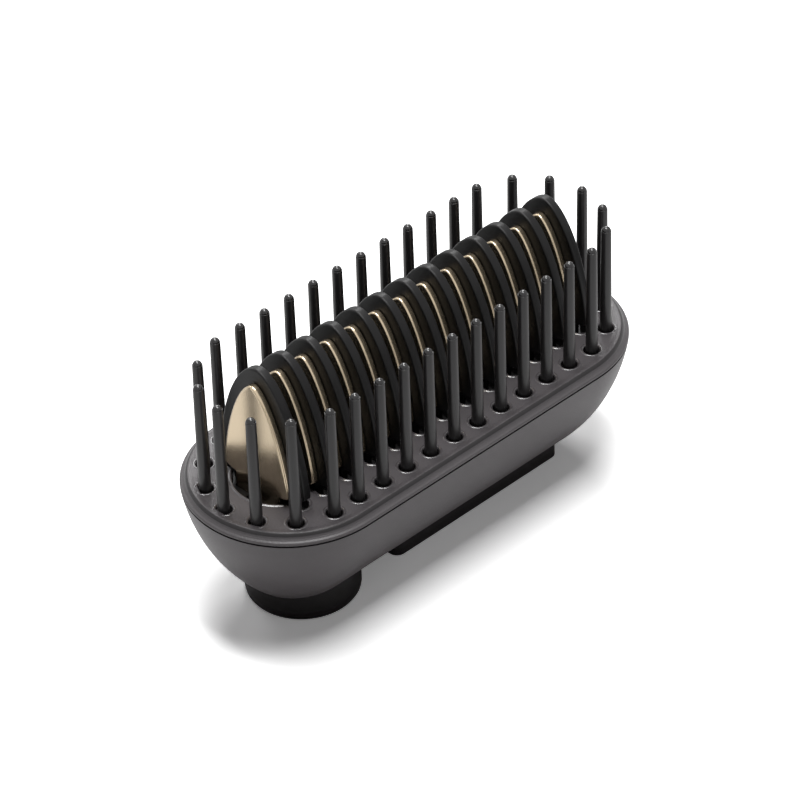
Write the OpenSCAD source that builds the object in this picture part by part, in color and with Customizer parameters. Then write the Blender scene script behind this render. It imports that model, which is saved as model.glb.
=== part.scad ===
// Brush head of a hot air styler. A racetrack-shaped bristle plate closes a deep bowl.
// Guarded heat plates stand in a row between two rows of pins, and a round socket
// under the near end takes the handle's air outlet.
// X runs along the head, Y across it, Z up from the surface that the head rests on.

/* [Head] */
// Width of the head at the parting line
head_w = 46.8; // [46:0.2:52]
// Distance between the centres of the two rounded ends
head_straight = 69.4; // [68:0.2:78]
// Height of the bristle bed above the surface that the head rests on
bed_z = 33; // [32.5:0.25:38]
// Height of the bed above the parting line
bed_rise = 2.4; // [2.2:0.1:2.7]
// Thickness of the bristle bed
bed_t = 2.5; // [2.2:0.1:3]

/* [Bowl] */
// Wall of the bowl
shell_wall = 1.6; // [1.3:0.1:1.7]
// Radius of the bowl's curved side, seen from its end
bowl_r = 43; // [42.4:0.2:47]
// Lean of the bowl's side at the parting line, in degrees
bowl_draft = 8.5; // [6.5:0.5:9]
// Thickness of the seal between the bowl and the bristle plate
rim_seal_t = 0.3; // [0.2:0.05:0.5]

/* [Pins] */
// Reach of a straight pin row past the centre of each rounded end
row_out = 3.8; // [3.4:0.1:4]
// Number of pins in each straight row
row_pins = 12; // [8:2:12]
// Distance of a pin row in from the edge of the head
row_inset = 6.1; // [5.95:0.05:6.3]
// Distance of the centre of each end's pin arc out from the centre of the rounded end
arc_out = 1.6; // [1.3:0.1:2]
// Number of pins in the arc at each end
arc_pins = 5; // [3:2:5]
// Angle between neighbouring pins of an arc
arc_angle = 27.3; // [24:0.1:28]
// Height of a pin above the bed
pin_h = 26.5; // [20:0.5:32]
// Diameter of a pin at its foot
pin_foot_d = 2.7; // [2.2:0.1:2.8]
// Diameter of a pin just below its tip
pin_tip_d = 2.25; // [1.6:0.05:2.4]
// Gap around a pin where it passes through the bed
pin_gap = 0.45; // [0.3:0.05:0.5]
// Width of the bar that carries a straight row of pins
row_bar_w = 3.4; // [3.2:0.1:3.6]
// Width of the curved bar that carries an arc of pins
arc_bar_w = 3.2; // [3:0.1:3.4]

/* [Fins] */
// Number of guard fins, each with one heat plate
fin_count = 13; // [7:2:13]
// Reach of the row of fins past the centre of each rounded end
fin_out = 7.3; // [6.6:0.1:7.6]
// Thickness of a guard fin
fin_t = 2.1; // [1.6:0.1:2.4]
// Height of a guard fin above the bed
fin_h = 29.9; // [24:0.1:34]
// Distance from a guard fin's widest place to the pin row's centre line
fin_to_pins = 4.4; // [4.2:0.1:5.4]
// Height of the fin's widest place above the bed
fin_waist = 2.9; // [2.6:0.1:4]
// Exponent of the guard fin's arch: 2 is an ellipse, less is more pointed
fin_power = 1.78; // [1.5:0.02:2.2]
// Distance of a fin's near face before its place in the row
fin_lead = 0.7; // [0.5:0.05:1]
// Thickness of a heat plate
plate_t = 1.75; // [1.2:0.05:1.9]
// Height of a heat plate above the bed
plate_h = 26.7; // [20:0.1:28.6]
// Margin of a guard fin beyond the heat plate's widest place
plate_margin = 3; // [2.4:0.1:4]
// Height of the plate's widest place above the bed
plate_waist = 2.7; // [2.4:0.1:3.6]
// Exponent of the heat plate's arch
plate_power = 1.58; // [1.4:0.02:2]
// Step from the plate's widest place in to its tongue, which reaches down into the warm air
tongue_inset = 3.4; // [3:0.1:4]
// Gap between the lowest tongue and the air guide's floor
tongue_gap = 1.2; // [0.8:0.1:1.6]
// Radius of the two rods that string the heat plates together
rod_r = 1; // [0.8:0.05:1.1]

/* [Socket] */
// Distance of the socket's axis in from the centre of the near rounded end
socket_in = 1.9; // [1.5:0.1:2.3]
// Distance from the socket's mouth out to the edge of the head
socket_inset = 13.2; // [13.1:0.1:13.6]
// Wall of the collar around the socket
collar_wall = 2.5; // [2.2:0.1:2.6]
// Distance from the flat on the collar out to the mouth's radius
flat_inset = 1.2; // [0.8:0.1:1.6]
// Height of the close-fitting mouth
mouth_h = 5.6; // [4.8:0.1:5.9]
// Wider bore above the mouth, added to the mouth's radius
bore_relief = 0.4; // [0.3:0.05:0.6]

/* [Catch] */
// Reach of the catch into the bore
catch_reach = 1.4; // [1:0.1:1.6]
// Travel of the catch, away from the bore
catch_travel = 2.2; // [2:0.1:2.6]
// Half width of the catch's nose
nose_half_w = 4; // [3.2:0.1:4.4]
// Half width of the catch's body
catch_half_w = 5; // [4.8:0.1:5.4]
// Length of the catch's body
catch_body_l = 8; // [7:0.5:9]
// Coil diameter of the catch's spring, to the middle of the wire
spring_d = 3; // [2.8:0.1:3.2]
// Wire diameter of the spring
spring_wire_d = 0.5; // [0.4:0.05:0.6]
// Number of turns of the spring
spring_turns = 6; // [4:1:7]

/* [Foot] */
// Height of the bowl's flat bottom above the surface that the head rests on
foot_h = 6; // [5.8:0.1:6.4]
// Length of the foot plate
foot_l = 50.4; // [46:0.2:51]
// Margin of the bowl's flat bottom beside the foot plate
foot_inset = 2.2; // [1.6:0.1:3]
// Distance of the foot plate's middle in from the centre of the far rounded end
foot_in = 22.6; // [21.6:0.1:23.2]
// Radius of the foot plate's corners
foot_corner_r = 2.2; // [1.8:0.1:3]
// Floor thickness of the foot plate
foot_floor = 1.2; // [1:0.1:1.4]

/* [Air guide] */
// Wall of the air guide
guide_wall = 1.6; // [1.3:0.1:1.8]
// Gap between the air guide's room and the bars that carry the pins
guide_to_bar = 2.5; // [2.3:0.05:2.7]
// Distance of the air guide's end centres out from the centres of the rounded ends
guide_out = 0; // [0:0.1:0.4]
// Rise of the air guide's floor from the near end to the far end
guide_rise = 3; // [2:0.1:3.4]

/* [Screws] */
// Shank radius of the two case screws
case_screw_r = 1.25; // [1.1:0.05:1.4]
// Shank radius of the small screws
small_screw_r = 1; // [0.9:0.05:1.1]
// Grip of a small screw in its post
small_grip = 2.8; // [2.2:0.1:3]
// Grip of a case screw in its post
case_grip = 8; // [6:0.2:8.2]

/* [Hidden] */
round_fn = 96;
small_fn = 32;
// Gap between parts that lie face to face
seat_gap = 0.1;
// Gap on each side of a part that slides, and around a part that drops in
slide_gap = 0.15;
// Length by which a cutting shape runs past the face it cuts
past = 1;

head_r = head_w / 2;
half_l = head_straight / 2;
part_z = bed_z - bed_rise;
row_y = head_r - row_inset;
arc_x = half_l + arc_out;
socket_x = half_l - socket_in;
socket_r = head_r - socket_inset;
foot_x = half_l - foot_in;
pin_pitch = (head_straight + 2 * row_out) / (row_pins - 1);
fin_pitch = (head_straight + 2 * fin_out) / (fin_count - 1);
shell_top = part_z - rim_seal_t / 2;
lip_z = part_z + rim_seal_t / 2;
bed_under = bed_z - bed_t;
// Centre of the bowl's side arc, out from the centre line and up
bowl_cx = head_r - bowl_r * cos(bowl_draft);
bowl_cz = part_z + bowl_r * sin(bowl_draft);
floor_z = foot_h + shell_wall;
foot_w = 2 * (bowl_reach(bowl_r, foot_h) - foot_inset);
inner_rim_r = bowl_reach(bowl_r - shell_wall, shell_top);

// Levels of the stack under the bed
base_t = 3.1;
comb_top = bed_under - seat_gap;
comb_bottom = comb_top - base_t - seat_gap;
flange_top = comb_bottom - seat_gap;
flange_t = 1.5;
flange_bottom = flange_top - flange_t;
bar_top = bed_under - 3 * seat_gap;
bar_bottom = flange_top + seat_gap;
guide_r = row_y - row_bar_w / 2 - guide_to_bar;
comb_r = guide_r + guide_wall;
flange_r = row_y + row_bar_w / 2 + seat_gap;
hook_y = flange_r + 2 * seat_gap;
hook_t = 0.9;
hook_half_l = half_l - 3.9;
bead = 0.5;
bead_h = 1;

// Fins, heat plates and the opening around them
fin_half_w = row_y - fin_to_pins;
plate_half_w = fin_half_w - plate_margin;
tongue_half_w = plate_half_w - tongue_inset;
fin_foot_half_w = fin_half_w - 3.9;
rod_y = 0.62 * tongue_half_w;
gap_x = fin_lead + plate_t;
air_w = fin_pitch - fin_t - plate_t - 0.8;
slot_off = fin_t / 2 - fin_lead;
slot_r = fin_t / 2 + 0.85;
slot_end_y = fin_half_w - 0.7;
core_half_w = tongue_half_w + 1.6;
fin_first = -(fin_count - 1) / 2 * fin_pitch;
row_start = fin_first - gap_x;
row_end = -fin_first + fin_t - fin_lead;
bay_r = plate_half_w + seat_gap;
bay_reach = 6.35;
corner_power = 2.2;

// Socket, collar and catch
collar_r = socket_r + collar_wall;
collar_flat_x = socket_r - flat_inset;
// Planes that take off the corners beside the collar's flat
collar_bevel_turn = 26;
collar_bevel_x = collar_r - 1.2;
ring_r = collar_r + 1.7;
collar_shoulder = 13;
flange_h = 1.6;
collar_top = collar_shoulder + flange_h;
ear_r = 2.4;
ear_reach = ring_r + ear_r;
ear_turn = 42;
nose_h = 2;
catch_z = floor_z + slide_gap;
nose_z = catch_z + 0.4;
catch_h = 4.2;
catch_top = catch_z + catch_h;
nose_tip_x = socket_r - catch_reach;
catch_body_x = ring_r + seat_gap;
catch_back_x = catch_body_x + catch_body_l;
pocket_depth = 4.5;
spring_l = pocket_depth + catch_travel + 2;
spring_z = catch_z + catch_h / 2;
pocket_r = (spring_d + spring_wire_d) / 2 + 0.2;
stop_x = catch_back_x - pocket_depth + spring_l + seat_gap;
stop_t = 1.5;
rail_t = 1.6;
rail_y = catch_half_w + slide_gap;
cover_z = catch_top + slide_gap;
cover_t = 1.3;
cover_post_r = 2;
cover_post_x = catch_body_x + 5;
cover_post_y = rail_y + rail_t + 1.4;

// Air guide
guide_half_l = half_l + guide_out;
guide_z = collar_top + 0.6;
tongue_z = guide_z + guide_rise + guide_wall + tongue_gap;
rod_z = tongue_z + 2.7 * rod_r;
guide_level_x = -socket_x + 14.8;
guide_end_x = guide_half_l + guide_r + guide_wall;
guide_slope = guide_rise / (guide_end_x - guide_level_x);
inlet_r = socket_r + bore_relief;
post_r = 3;
case_xs = [foot_x - 10, foot_x + 18];
case_head_h = 1.4;
small_head_r = 1.9 * small_screw_r;
small_head_h = 1.2;

// Distance from the centre line to a bowl arc of radius r at height z
function bowl_reach(r, z) = bowl_cx + sqrt(r * r - (bowl_cz - z) * (bowl_cz - z));
// Height of the air guide's underside at x
function guide_under(x) = guide_z + max(0, x - guide_level_x) * guide_slope;
// Places of the pins in an arc, as angles from the head's axis
function arc_angles() = [for (i = [0 : arc_pins - 1]) (i - (arc_pins - 1) / 2) * arc_angle];
// Arch of half width a, height h and exponent n down to its waist, from right to left
function arch(a, h, n, waist, steps = 28) =
    let (start = asin(pow(waist / h, n / 2)))
    [
        for (i = [0 : steps])
            let (t = start + (180 - 2 * start) * i / steps, c = cos(t))
            [a * sign(c) * pow(abs(c), 2 / n), h * pow(sin(t), 2 / n)]
    ];
// Rounded lower corner from half width a at the waist in to the foot's half width
function corner(a, foot, waist, drop, steps = 8) =
    let (last = acos(pow(foot / a, corner_power / 2)))
    [
        for (i = [1 : steps])
            let (t = last * i / steps)
            [a * pow(cos(t), 2 / corner_power), waist - drop * pow(sin(t), 2 / corner_power)]
    ];

// Sweep of a section around the racetrack: the section's x is the distance out
// from the line between the two end centres, its y is the height.
module around(l) {
    for (turn = [0, 180]) {
        rotate([0, 0, turn]) {
            translate([l, 0, 0])
                rotate([0, 0, -90]) rotate_extrude(angle = 180, $fn = round_fn) children();
            translate([-l, 0, 0])
                rotate([90, 0, 90]) linear_extrude(2 * l) children();
        }
    }
}

// Solid racetrack from height z0 to z1
module track(l, r, z0, z1) {
    around(l) translate([0, z0]) square([r, z1 - z0]);
}

// Block with four rounded corners, centred, standing on z = 0
module rounded_block(x, y, r, h) {
    translate([-x / 2 + r, -y / 2, 0]) cube([x - 2 * r, y, h]);
    for (side = [-1, 1])
        translate([side * (x / 2 - r / 2) - r / 2, -y / 2 + r, 0]) cube([r, y - 2 * r, h]);
    for (corner = [[1, 1, 0], [-1, 1, 90], [-1, -1, 180], [1, -1, 270]])
        translate([corner[0] * (x / 2 - r), corner[1] * (y / 2 - r), 0])
            rotate([0, 0, corner[2]]) rotate_extrude(angle = 90, $fn = round_fn) square([r, h]);
}

// Side profile of the bowl within an arc of radius r, from z0 to z1
module bowl_side(r, z0, z1) {
    intersection() {
        translate([bowl_cx, bowl_cz]) circle(r, $fn = 240);
        translate([0, z0]) square([head_w, z1 - z0]);
    }
}

// Screw with its head below z = 0 and its shank above
module screw(shank_r, shank_l, cap_r, cap_h) {
    translate([0, 0, -cap_h]) cylinder(r = cap_r, h = cap_h, $fn = small_fn);
    translate([0, 0, -past / 2]) cylinder(r = shank_r, h = shank_l + past / 2, $fn = small_fn);
}

// Cross recess in a screw head whose face is at z = 0, cut upwards
module cross_recess(size, depth) {
    for (turn = [0, 90])
        rotate([0, 0, turn]) translate([-size / 2, -size / 8, -past]) cube([size, size / 4, depth + past]);
}

module pin_holes() {
    hole_r = pin_foot_d / 2 + pin_gap;
    for (x = pin_row_xs(), side = [-1, 1])
        translate([x, side * row_y, 0]) pin_hole(hole_r);
    for (turn = [0, 180], a = arc_angles())
        rotate([0, 0, turn]) translate([arc_x, 0, 0])
            rotate([0, 0, a]) translate([row_y, 0, 0]) pin_hole(hole_r);
}

function pin_row_xs() = [for (i = [0 : row_pins - 1]) (i - (row_pins - 1) / 2) * pin_pitch];

module pin_hole(r) {
    edge = 0.3;
    translate([0, 0, bed_under - past]) cylinder(r = r, h = bed_t + 2 * past, $fn = small_fn);
    translate([0, 0, bed_z - edge]) cylinder(r1 = r, r2 = r + 2 * edge, h = 2 * edge, $fn = small_fn);
}

// One pin from height z0 up to its tip
module pin(z0) {
    foot = pin_foot_d / 2;
    neck = pin_tip_d / 2;
    tip_z = bed_z + pin_h;
    rotate_extrude($fn = small_fn)
        polygon([
            [0, z0], [foot, z0], [foot, bed_z], [neck, tip_z - 0.8 * neck],
            [0.8 * neck, tip_z - 0.3 * neck], [0.45 * neck, tip_z], [0, tip_z]
        ]);
}

module top_plate() {
    color([0.26, 0.26, 0.27])
    difference() {
        union() {
            around(half_l)
                polygon([
                    [0, bed_under], [inner_rim_r - 0.3, bed_under], [inner_rim_r - 0.3, lip_z],
                    [head_r - 0.15, lip_z], [head_r, lip_z + 0.2], [head_r, lip_z + 0.5],
                    [head_r - 0.2, lip_z + 0.75], [head_r - 0.6, lip_z + 0.95],
                    [head_r - 0.95, bed_z - 1], [head_r - 1.1, bed_z - 0.75],
                    [head_r - 1.3, bed_z - 0.35], [head_r - 1.65, bed_z - 0.1],
                    [head_r - 2.1, bed_z], [0, bed_z]
                ]);
            for (side = [0, 180]) rotate([0, 0, side]) hook_wall();
        }
        pin_holes();
        fin_opening();
    }
}

// Wall under the bed whose beads clip below the air guide's flange
module hook_wall() {
    low = flange_bottom - seat_gap - bead_h;
    translate([-hook_half_l, hook_y, low]) cube([2 * hook_half_l, hook_t, bed_under + seat_gap - low]);
    for (x = [-0.7 * hook_half_l, 0, 0.7 * hook_half_l])
        translate([x - 4, hook_y - bead, low]) cube([8, bead + seat_gap, bead_h]);
}

// Opening in the bed: a rounded slot for each fin, the way for the plates' tongues
// across all of them, and a bay at each end of the row
module fin_opening() {
    translate([0, 0, bed_under - past])
        linear_extrude(bed_t + 2 * past) {
            for (i = [0 : fin_count - 1])
                translate([fin_first + i * fin_pitch + slot_off, 0]) slot_shape(slot_r, slot_end_y);
            translate([fin_first + slot_off, -core_half_w]) square([-2 * fin_first, 2 * core_half_w]);
            for (dir = [-1, 1])
                intersection() {
                    translate([dir * (bay_reach - bay_r - fin_first) + slot_off, 0])
                        circle(bay_r, $fn = round_fn);
                    translate([dir > 0 ? slot_off - fin_first : slot_off + fin_first - bay_r, -bay_r])
                        square([bay_r, 2 * bay_r]);
                }
        }
}

// Slot with two rounded ends, seen from above, of half width r and half length reach
module slot_shape(r, reach) {
    polygon([
        for (side = [0, 180], i = [0 : 14])
            let (a = side + 180 * i / 14)
            [r * cos(a), r * sin(a) + (side > 0 ? r - reach : reach - r)]
    ]);
}

module lower_shell() {
    color([0.30, 0.30, 0.31])
    difference() {
        union() {
            around(half_l)
                difference() {
                    bowl_side(bowl_r, foot_h, shell_top);
                    bowl_side(bowl_r - shell_wall, floor_z, shell_top + past);
                }
            intersection() {
                around(half_l) bowl_side(bowl_r, foot_h, part_z - bed_rise);
                union() {
                    translate([-socket_x, 0, foot_h])
                        cylinder(r = ring_r, h = collar_shoulder - foot_h, $fn = round_fn);
                    catch_housing();
                    collar_posts();
                }
            }
        }
        collar_hole();
        // way for the catch's nose through the ring
        translate([-socket_x + collar_flat_x, -nose_half_w - slide_gap, floor_z])
            cube([ring_r - collar_flat_x + past / 2, 2 * (nose_half_w + slide_gap), cover_z - floor_z]);
        for (x = case_xs)
            translate([x, 0, foot_h - past]) cylinder(r = case_screw_r + seat_gap, h = 6, $fn = small_fn);
        foot_peg_places() translate([0, 0, foot_h - past]) cylinder(r = 1.3, h = 6, $fn = small_fn);
    }
}

// Outside of the collar, grown by gap, from z = 0 to height h: a round with a flat
// towards the middle of the head and a bevel on each side of the flat
module collar_outline(gap, h) {
    linear_extrude(h)
        intersection() {
            circle(collar_r + gap, $fn = round_fn);
            translate([-ring_r, -ring_r]) square([ring_r + collar_flat_x + gap, 2 * ring_r]);
            bevelled_window(gap);
        }
}

// Plane figure that two bevels leave of a wide square
module bevelled_window(gap) {
    difference() {
        square(4 * ring_r, center = true);
        for (side = [-1, 1])
            rotate(side * collar_bevel_turn)
                translate([collar_bevel_x + gap, -ring_r]) square([2 * ring_r, 2 * ring_r]);
    }
}

// Hole for the collar: its outline with the flat, and the whole bore
module collar_hole() {
    translate([-socket_x, 0, foot_h - past]) {
        collar_outline(seat_gap, collar_shoulder);
        cylinder(r = inlet_r, h = collar_shoulder, $fn = round_fn);
    }
    // full outline above the catch, where the collar is a whole ring
    translate([-socket_x, 0, cover_z])
        cylinder(r = collar_r + seat_gap, h = collar_shoulder, $fn = round_fn);
}

module catch_housing() {
    translate([-socket_x, 0, foot_h]) {
        for (side = [-1, 1])
            translate([ring_r - past, side > 0 ? rail_y : -rail_y - rail_t, 0])
                cube([stop_x + stop_t - ring_r + past, rail_t, catch_top - foot_h]);
        translate([stop_x, -rail_y - rail_t, 0])
            cube([stop_t, 2 * (rail_y + rail_t), catch_top - foot_h]);
    }
    cover_screw_places()
        difference() {
            translate([0, 0, foot_h]) cylinder(r = cover_post_r, h = catch_top - foot_h, $fn = small_fn);
            translate([0, 0, floor_z]) cylinder(r = small_screw_r + seat_gap / 2, h = 10, $fn = small_fn);
        }
}

module collar_posts() {
    collar_screw_places()
        difference() {
            translate([0, 0, foot_h]) cylinder(r = ear_r, h = collar_shoulder - foot_h, $fn = small_fn);
            translate([0, 0, floor_z + 2]) cylinder(r = small_screw_r + seat_gap / 2, h = 10, $fn = small_fn);
        }
}

module collar_screw_places() {
    for (side = [-1, 1])
        translate([-socket_x, 0, 0])
            rotate([0, 0, side * ear_turn]) translate([ear_reach, 0, 0]) children();
}

module cover_screw_places() {
    for (side = [-1, 1])
        translate([-socket_x + cover_post_x, side * cover_post_y, 0]) children();
}

module foot_peg_places() {
    for (dx = [-1, 1], side = [-1, 1])
        translate([foot_x + dx * (foot_l / 2 - 4), side * (foot_w / 2 - 4), 0]) children();
}

module rim_seal() {
    color([0.05, 0.05, 0.05])
    around(half_l)
        translate([inner_rim_r + 0.15, shell_top]) square([1, rim_seal_t]);
}

module fin_comb() {
    post_xs = [row_start - 0.55 - 1.5, row_end - 1.4];
    post_half_w = rod_r + 0.6;
    color([0.09, 0.09, 0.095]) {
        difference() {
            union() {
                track(arc_x, comb_r, comb_bottom, comb_top);
                // posts that hold the ends of the two rods
                for (x = post_xs, side = [-1, 1])
                    translate([x, side * rod_y - post_half_w, tongue_z])
                        cube([1.5, 2 * post_half_w, comb_bottom + seat_gap - tongue_z]);
            }
            for (i = [0 : fin_count - 1]) {
                x = fin_first + i * fin_pitch;
                // slot for a heat plate's tongue
                translate([x - gap_x - seat_gap / 2, -tongue_half_w - seat_gap, comb_bottom - past])
                    cube([plate_t + seat_gap / 2, 2 * (tongue_half_w + seat_gap), base_t + 3 * past]);
                // air slot behind the fin
                if (i < fin_count - 1)
                    translate([x - fin_lead + fin_t + 0.2 + air_w / 2, 0, comb_bottom - past])
                        linear_extrude(base_t + 3 * past) slot_shape(air_w / 2, core_half_w);
            }
            // air slots in front of the first plate and behind the last fin
            translate([row_start - 2.7, -0.5 * rod_y, comb_bottom - past])
                cube([2.2, rod_y, base_t + 3 * past]);
            translate([row_end + 0.3, -rod_y, comb_bottom - past])
                cube([2.2, 2 * rod_y, base_t + 3 * past]);
            for (side = [-1, 1])
                translate([row_start - 5, side * rod_y, rod_z]) rotate([0, 90, 0])
                    cylinder(r = rod_r + seat_gap / 2, h = row_end - row_start + 10, $fn = small_fn);
        }
        for (i = [0 : fin_count - 1])
            translate([fin_first + i * fin_pitch - fin_lead, 0, 0])
                fin_body(fin_t, fin_half_w, fin_h, fin_power, fin_waist, fin_foot_half_w,
                    comb_top - seat_gap);
    }
}

// Upright arch of thickness t whose lower corners are rounded in to a foot that
// stands on height z0
module fin_body(t, a, h, n, waist, foot, z0) {
    upper = arch(a, h, n, waist);
    lower = corner(upper[0][0], foot, waist, waist - 0.6);
    rotate([90, 0, 90])
        linear_extrude(t)
            polygon(concat(
                [for (p = upper) [p[0], bed_z + p[1]]],
                [for (p = lower) [-p[0], bed_z + p[1]]],
                [[-foot, z0], [foot, z0]],
                [for (i = [len(lower) - 1 : -1 : 0]) [lower[i][0], bed_z + lower[i][1]]]
            ));
}

module heat_plate(i) {
    color([0.78, 0.69, 0.56])
    if (i <= fin_count)
        translate([fin_first + (i - 1) * fin_pitch - gap_x, 0, 0])
            difference() {
                fin_body(plate_t - seat_gap / 2, plate_half_w, plate_h, plate_power, plate_waist,
                    tongue_half_w, tongue_z);
                for (side = [-1, 1])
                    translate([-past, side * rod_y, rod_z]) rotate([0, 90, 0])
                        cylinder(r = rod_r + seat_gap / 2, h = plate_t + 2 * past, $fn = small_fn);
            }
}

module plate_rod(side) {
    color([0.6, 0.6, 0.62])
    translate([row_start - 1.9, side * rod_y, rod_z])
        rotate([0, 90, 0]) cylinder(r = rod_r, h = row_end - row_start + 1.8, $fn = small_fn);
}

module pin_row(side) {
    bar_half_l = (row_pins - 1) / 2 * pin_pitch + pin_foot_d / 2 + 0.8;
    color([0.07, 0.07, 0.075]) {
        translate([-bar_half_l, side * row_y - row_bar_w / 2, bar_bottom])
            cube([2 * bar_half_l, row_bar_w, bar_top - bar_bottom]);
        for (x = pin_row_xs())
            translate([x, side * row_y, 0]) pin(bar_top - seat_gap);
    }
}

module pin_arc(turn) {
    spread = arc_angles()[arc_pins - 1] + 7;
    color([0.07, 0.07, 0.075])
    rotate([0, 0, turn]) translate([arc_x, 0, 0]) {
        rotate([0, 0, -spread])
            rotate_extrude(angle = 2 * spread, $fn = round_fn)
                translate([row_y - arc_bar_w / 2, bar_bottom]) square([arc_bar_w, bar_top - bar_bottom]);
        for (a = arc_angles())
            rotate([0, 0, a]) translate([row_y, 0, 0]) pin(bar_top - seat_gap);
    }
}

// Side profile of the air guide's room, raised by lift above its underside
module guide_side(lift) {
    reach = guide_end_x + 10;
    rotate([90, 0, 0])
        translate([0, 0, -head_r])
            linear_extrude(head_w)
                polygon([
                    [-reach, guide_z + lift], [guide_level_x, guide_z + lift],
                    [reach, guide_under(reach) + lift], [reach, bed_z], [-reach, bed_z]
                ]);
}

module air_guide() {
    color([0.16, 0.16, 0.165])
    difference() {
        union() {
            intersection() {
                track(guide_half_l, guide_r + guide_wall, guide_z - past, flange_top);
                guide_side(0);
            }
            track(half_l, flange_r, flange_bottom, flange_top);
            for (x = case_xs)
                translate([x, 0, floor_z + seat_gap / 2])
                    cylinder(r = post_r, h = guide_under(x) + guide_wall / 2 - floor_z, $fn = small_fn);
        }
        intersection() {
            track(guide_half_l, guide_r, guide_z, flange_top + past);
            guide_side(guide_wall);
        }
        translate([-socket_x, 0, guide_z - past])
            cylinder(r = inlet_r, h = guide_wall + 2 * past, $fn = round_fn);
        for (x = case_xs)
            translate([x, 0, floor_z - past])
                cylinder(r = case_screw_r + seat_gap / 2, h = case_grip + 1 + past, $fn = small_fn);
        // room for the heads of the collar's screws
        collar_screw_places()
            translate([0, 0, collar_top - past])
                cylinder(r = small_head_r + 0.4, h = small_head_h + 0.2 + past, $fn = small_fn);
    }
}

module inlet_screen() {
    hole_r = 1.5;
    step = 4;
    color([0.5, 0.5, 0.52])
    translate([-socket_x, 0, guide_z + guide_wall + seat_gap / 2])
        difference() {
            cylinder(r = inlet_r + 1.2, h = 0.8, $fn = round_fn);
            for (i = [-3 : 3], j = [-3 : 3]) {
                x = (i + j / 2) * step;
                y = j * step * sin(60);
                if (norm([x, y]) < inlet_r - hole_r - 0.4)
                    translate([x, y, -past]) cylinder(r = hole_r, h = 3, $fn = small_fn);
            }
        }
}

module inlet_seal() {
    color([0.12, 0.12, 0.12])
    translate([-socket_x, 0, collar_top])
        difference() {
            cylinder(r = collar_r + 0.5, h = guide_z - collar_top, $fn = round_fn);
            translate([0, 0, -past]) cylinder(r = inlet_r + 0.3, h = 4, $fn = round_fn);
        }
}

module coupling_collar() {
    color([0.06, 0.06, 0.065])
    translate([-socket_x, 0, 0])
        difference() {
            union() {
                // lower part with the flat, rounded in at its lower edge
                intersection() {
                    collar_outline(0, cover_z + past / 2);
                    rotate_extrude($fn = round_fn)
                        polygon([
                            [0, 0], [collar_r - 1, 0], [collar_r - 0.55, 0.25], [collar_r - 0.2, 0.8],
                            [collar_r, 2.2], [collar_r, collar_shoulder], [0, collar_shoulder]
                        ]);
                }
                // whole ring above the catch
                translate([0, 0, cover_z])
                    cylinder(r = collar_r, h = collar_top - cover_z, $fn = round_fn);
                translate([0, 0, collar_shoulder + seat_gap / 2]) {
                    cylinder(r = ring_r, h = flange_h - seat_gap / 2, $fn = round_fn);
                    for (side = [-1, 1])
                        rotate([0, 0, side * ear_turn]) {
                            translate([collar_r, -ear_r + 0.4, 0])
                                cube([ear_reach - collar_r, 2 * (ear_r - 0.4), flange_h - seat_gap / 2]);
                            translate([ear_reach, 0, 0])
                                cylinder(r = ear_r, h = flange_h - seat_gap / 2, $fn = small_fn);
                        }
                }
            }
            translate([0, 0, -past]) cylinder(r = socket_r, h = collar_top, $fn = round_fn);
            translate([0, 0, mouth_h]) cylinder(r = inlet_r, h = collar_top, $fn = round_fn);
            for (side = [-1, 1])
                rotate([0, 0, side * ear_turn]) translate([ear_reach, 0, collar_shoulder - past])
                    cylinder(r = small_screw_r + 2 * seat_gap, h = 4, $fn = small_fn);
        }
}

// Small screw seated at height z, pointing down, with a shank of length l
module small_screw(z, l) {
    translate([0, 0, z])
        rotate([180, 0, 0])
            difference() {
                screw(small_screw_r, l, small_head_r, small_head_h);
                translate([0, 0, -small_head_h]) cross_recess(2.2 * small_screw_r, 0.6);
            }
}

module collar_screws() {
    color([0.55, 0.55, 0.57])
    collar_screw_places() small_screw(collar_top, flange_h + small_grip);
}

module catch() {
    color([0.13, 0.13, 0.14])
    translate([-socket_x, 0, 0])
        difference() {
            union() {
                // nose, sloped above and below so that the spigot pushes it back both ways
                rotate([90, 0, 0])
                    translate([0, 0, -nose_half_w])
                        linear_extrude(2 * nose_half_w)
                            polygon([
                                [nose_tip_x, nose_z + 0.35 * nose_h], [nose_tip_x + 1.2, nose_z],
                                [catch_body_x + past, nose_z], [catch_body_x + past, nose_z + nose_h],
                                [nose_tip_x + 1.2, nose_z + nose_h], [nose_tip_x, nose_z + 0.65 * nose_h]
                            ]);
                translate([catch_body_x, -catch_half_w, catch_z])
                    cube([catch_body_l, 2 * catch_half_w, catch_h]);
            }
            translate([catch_back_x - pocket_depth, 0, spring_z])
                rotate([0, 90, 0]) cylinder(r = pocket_r, h = pocket_depth + past, $fn = small_fn);
        }
}

// Spring between the catch's pocket and the stop wall: one unbroken round wire
module catch_spring() {
    sides = 6;
    per_turn = 12;
    rings = spring_turns * per_turn;
    wire = spring_wire_d / 2;
    coil = spring_d / 2;
    pitch = (spring_l - 2 * wire - 2 * seat_gap) / spring_turns;
    x0 = -socket_x + catch_back_x - pocket_depth + seat_gap + wire;
    points = [
        for (i = [0 : rings], k = [0 : sides - 1])
            let (a = 360 * i / per_turn, b = 360 * k / sides, r = coil + wire * cos(b))
            [x0 + pitch * i / per_turn + wire * sin(b), r * cos(a), spring_z + r * sin(a)]
    ];
    walls = [
        for (i = [0 : rings - 1], k = [0 : sides - 1])
            let (p = i * sides + k, q = i * sides + (k + 1) % sides)
            each [[p, p + sides, q], [q, p + sides, q + sides]]
    ];
    ends = concat(
        [for (k = [1 : sides - 2]) [0, k, k + 1]],
        [for (k = [1 : sides - 2]) [rings * sides, rings * sides + k + 1, rings * sides + k]]
    );
    color([0.7, 0.7, 0.72])
    polyhedron(points, concat(walls, ends));
}

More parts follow.
